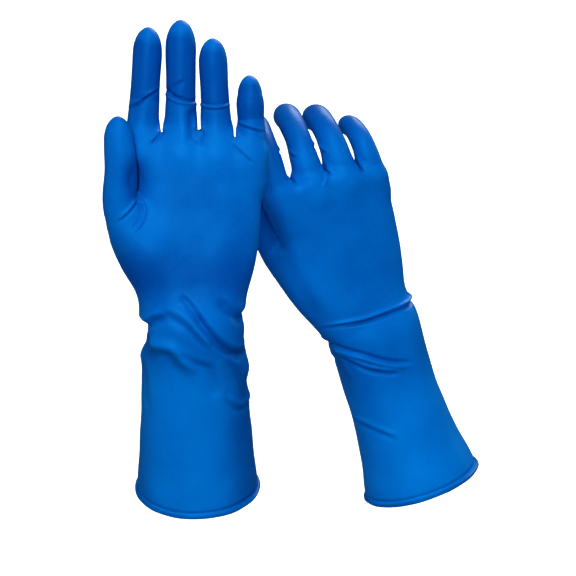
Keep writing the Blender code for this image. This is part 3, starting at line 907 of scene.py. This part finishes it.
def make_mesh(name, points, faces, loop_normals, material, tone):
    mesh = bpy.data.meshes.new(name)
    mesh.from_pydata(points.tolist(), [], faces.tolist())
    mesh.shade_smooth()
    mesh.normals_split_custom_set(loop_normals.reshape(-1, 3).tolist())
    attribute = mesh.attributes.new("tone", "FLOAT", "POINT")
    attribute.data.foreach_set("value", tone.astype(np.float32))
    mesh.materials.append(material)
    piece = bpy.data.objects.new(name, mesh)
    bpy.context.scene.collection.objects.link(piece)
    return piece


def make_shell(name, skin, faces, material):
    """A closed piece of skin: outer face, inner face and the cut edges between them."""
    used, renumbered = np.unique(faces, return_inverse=True)
    quads = renumbered.reshape(-1, 4)
    count = len(used)
    outer, normals, tone = skin["points"][used], skin["normals"][used], skin["tone"][used]
    points = np.concatenate((outer, outer - WALL * normals))
    starts, ends = quads.ravel(), np.roll(quads, -1, axis=1).ravel()
    open_edge = ~np.isin(starts * count + ends, ends * count + starts)
    a, b = starts[open_edge], ends[open_edge]
    rim = np.column_stack((b, a, a + count, b + count))
    rim_normal = np.cross(points[rim[:, 2]] - points[rim[:, 0]], points[rim[:, 3]] - points[rim[:, 1]])
    rim_normal /= np.maximum(np.linalg.norm(rim_normal, axis=1), 1e-12)[:, None]
    inner = quads[:, ::-1]
    loops = np.concatenate((normals[quads], -normals[inner], np.repeat(rim_normal[:, None], 4, axis=1)))
    all_faces = np.concatenate((quads, inner + count, rim))
    return make_mesh(name, points, all_faces, loops, material, np.concatenate((tone, tone)))


def make_bead(glove, rim, material):
    """The rolled edge: a thin roll around the cuff's opening, with the lip of the roll showing."""
    inside = glove.cuff.inside(rim)
    angles = np.arctan2(inside[:, 1], inside[:, 0])
    order = np.argsort(angles)
    steps = np.linspace(-math.pi, math.pi, BEAD_STEPS, endpoint=False)
    reach = np.interp(steps, angles[order], np.hypot(inside[:, 0], inside[:, 1])[order], period=math.tau)
    smooth = np.fft.rfft(reach)
    smooth[BEAD_WAVES:] = 0
    reach = np.fft.irfft(smooth, BEAD_STEPS)
    points = []
    for step, (angle, radius) in enumerate(zip(steps, reach)):
        wave = 1 + sum(share * math.sin(count * angle + turn) for count, share, turn in BEAD_SWELLS)
        for corner in range(BEAD_SIDES):
            turn = math.tau * corner / BEAD_SIDES
            lip = LIP_DEPTH * math.exp(-(((turn - LIP_TURN) / LIP_SPREAD) ** 2))
            roll = BEAD_RADIUS * wave * (1 - lip)
            out = radius + BEAD_REACH + roll * math.cos(turn)
            points.append((out * math.cos(angle), out * math.sin(angle), roll * math.sin(turn)))
    points = glove.cuff.outside(points)
    faces = []
    for step in range(BEAD_STEPS):
        for corner in range(BEAD_SIDES):
            a = step * BEAD_SIDES + corner
            b = step * BEAD_SIDES + (corner + 1) % BEAD_SIDES
            c = (step + 1) % BEAD_STEPS * BEAD_SIDES
            faces.append((a, c + corner, c + (corner + 1) % BEAD_SIDES, b))
    faces = np.array(faces)
    normals = normals_of(points, faces)
    tone = np.full(len(points), BEAD_TONE)
    return make_mesh(f"{glove.side}_bead_roll", points, faces, normals[faces], material, tone)


def finished(piece, nodes, zone=None, body=None):
    """Attach a piece to its body, or bake in the transform of a piece across a joint, and hide the nodes it
    stands for.
    """
    if zone is None:
        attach(piece, body)
    else:
        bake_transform(piece)
    if nodes:
        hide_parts(*nodes)


def make_glove(side, skin_material, bead_material):
    """One glove: its skin meshed, settled on the field, creased and cut, and its bead."""
    glove = Glove(side)
    nodes = [n for n in frame["nodes"] if n.startswith(side)]
    corners = np.array([list(corner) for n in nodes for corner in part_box(n)])
    points, faces = meshed(
        glove.distance, corners.min(axis=0) - MARGIN, corners.max(axis=0) + MARGIN, PITCH
    )
    glove.least_gap = 0.0  # the gaps close to their real width as the skin settles
    for step in range(SETTLING_ROUNDS):
        if step == SETTLING_ROUNDS - 1:
            points, faces = refined(points, faces)
        points += SETTLING_SHARE * (neighbours_mean(points, faces) - points)
        slope = glove.direction(points)
        steep = np.maximum((slope**2).sum(axis=1), 0.1)
        points -= (glove.distance(points) / steep)[:, None] * slope
    normals = normals_of(points, faces)
    stall_gap = np.array([glove.stalls[name].distance(points) for name in STALLS])
    height = relief(glove, points, normals)
    points = points + height[:, None] * normals
    normals = normals_of(points, faces)
    # the tone carries painted light and shade as well as the latex's own tone
    tone = latex_tone_with_painted_light(glove, points, normals, height, stall_gap)
    skin = {"points": points, "normals": normals, "tone": tone}

    centres = points[faces].mean(axis=1)
    gaps = stall_gap[:, faces].mean(axis=2)
    piece_of = np.full(len(faces), "hand", dtype=object)
    wrist = wrist_zone(glove)
    piece_of[~wrist.beyond(centres, 1 + WRIST_LAP)] = "wrist"
    piece_of[~wrist.beyond(centres, -WRIST_LAP)] = "cuff"
    zones = {"wrist": wrist}
    for number, name in enumerate(STALLS):
        limit = THUMB_GAP / 2 if name == "thumb" else STALL_REACH
        own = (gaps.argmin(axis=0) == number) & (gaps[number] < limit)
        chain = stall_zones(side, glove.stalls[name], glove.hand)
        last_end = None
        for zone, stretch in zip(chain, STRETCHES[name]):
            cut = zone.start if last_end is None else (zone.start + last_end) / 2
            run = zone.end - zone.start
            lap = ROOT_LAP if last_end is None else 0
            own = own & ((centres - cut) @ run > -lap * zone.length)
            piece_of[own] = f"{name}_{stretch}"
            zones[f"{name}_{stretch}"] = zone
            last_end = zone.end

    low_cut = glove.cuff.inside(centres)[:, 2] > 0
    for label in dict.fromkeys(piece_of):
        chosen = faces[(piece_of == label) & low_cut]
        piece = make_shell(f"{side}_{label}_skin", skin, chosen, skin_material)
        if label in zones:
            finished(piece, [] if label == "wrist" else [f"{side}_{label}"], zones[label])
        else:
            finished(piece, [f"{side}_{label}"], body=f"{side}_{label}")
    rim_height = glove.cuff.inside(points)[:, 2]
    rim = points[np.abs(rim_height) < PITCH]
    bead = make_bead(glove, rim, bead_material)
    finished(bead, [f"{side}_rolled_bead"], body=f"{side}_cuff")


# ---------------------------------------------------------------- studio


def make_camera():
    right = Vector((1, 0, 0))
    up = Vector((0, math.sin(ELEVATION), math.cos(ELEVATION)))
    toward = Vector((0, -math.cos(ELEVATION), math.sin(ELEVATION)))
    data = bpy.data.cameras.new("camera")
    data.sensor_width = SENSOR
    data.lens = SENSOR * DISTANCE / (PIXELS * PIXEL_SIZE)
    camera = bpy.data.objects.new("camera", data)
    matrix = Matrix((right, up, toward)).transposed().to_4x4()
    matrix.translation = TARGET + DISTANCE * toward
    camera.matrix_world = matrix
    bpy.context.scene.collection.objects.link(camera)
    bpy.context.scene.camera = camera


def make_light(name, place, size, power, colour=(1, 1, 1)):
    data = bpy.data.lights.new(name, "AREA")
    data.size = size
    data.energy = power
    data.color = colour
    lamp = bpy.data.objects.new(name, data)
    lamp.location = TARGET + Vector(place)
    lamp.rotation_mode = "QUATERNION"
    lamp.rotation_quaternion = Vector(place).to_track_quat("Z", "Y")
    bpy.context.scene.collection.objects.link(lamp)


def make_studio():
    world = bpy.data.worlds.new("studio")
    world.use_nodes = True
    world.node_tree.nodes["Background"].inputs["Color"].default_value = (0.10, 0.62, 1.0, 1)
    world.node_tree.nodes["Background"].inputs["Strength"].default_value = 0.20
    bpy.context.scene.world = world
    make_light("key", (-0.25, -1.55, 1.15), 0.9, 20)
    make_light("top", (0.1, -0.5, 1.8), 0.9, 15)
    make_light("fill", (1.4, -1.0, 0.2), 1.0, 1.0)
    make_light("back", (0.5, 1.7, 0.9), 1.0, 16)
    make_light("left_edge", (-1.6, -0.2, 0.0), 0.6, 1.5, (0.1, 0.9, 0.8))
    make_light("right_edge", (1.5, 1.0, 0.3), 0.6, 3.0, (0.1, 0.9, 0.8))
    mesh = bpy.data.meshes.new("floor")
    level = cad_box[0].z - FLOOR_DROP
    points, faces = [(0, 0, level)], []
    for step in range(SWEEP_STEPS):
        turn = math.tau * step / SWEEP_STEPS
        after = (step + 1) % SWEEP_STEPS
        for ring, (reach, rise) in enumerate(SWEEP_RINGS):
            points.append((reach * math.cos(turn), reach * math.sin(turn), level + rise))
            a, b = 1 + step * len(SWEEP_RINGS) + ring, 1 + after * len(SWEEP_RINGS) + ring
            faces.append((a - 1, a, b, b - 1) if ring else (0, a, b))
    mesh.from_pydata(points, [], faces)
    floor = bpy.data.objects.new("floor", mesh)
    material = bpy.data.materials.new("floor")
    material.use_nodes = True
    shader = material.node_tree.nodes["Principled BSDF"]
    shader.inputs["Base Color"].default_value = (0.9, 0.9, 0.9, 1)
    shader.inputs["Roughness"].default_value = 0.9
    shader.inputs["Emission Color"].default_value = (1, 1, 1, 1)
    shader.inputs["Emission Strength"].default_value = 1.0
    mesh.materials.append(material)
    bpy.context.scene.collection.objects.link(floor)
    floor.visible_diffuse = False
    floor.visible_glossy = False
    floor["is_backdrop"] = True
    bpy.context.scene.view_settings.view_transform = "Standard"


def main():
    make_camera()
    make_studio()
    skin = latex("blue_latex", (0.0, 0.212, 0.745), (0.0, 0.074, 0.39), 0.44, 0.25)
    bead = latex("blue_latex_bead", (0.0, 0.155, 0.54), (0.0, 0.065, 0.32), 0.38, 0.15)
    for side in SIDES:
        make_glove(side, skin, bead)


main()
for name, box in (("cad", cad_box), ("visual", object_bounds())):
    print("size", name, [round(c, 4) for corner in box for c in corner])
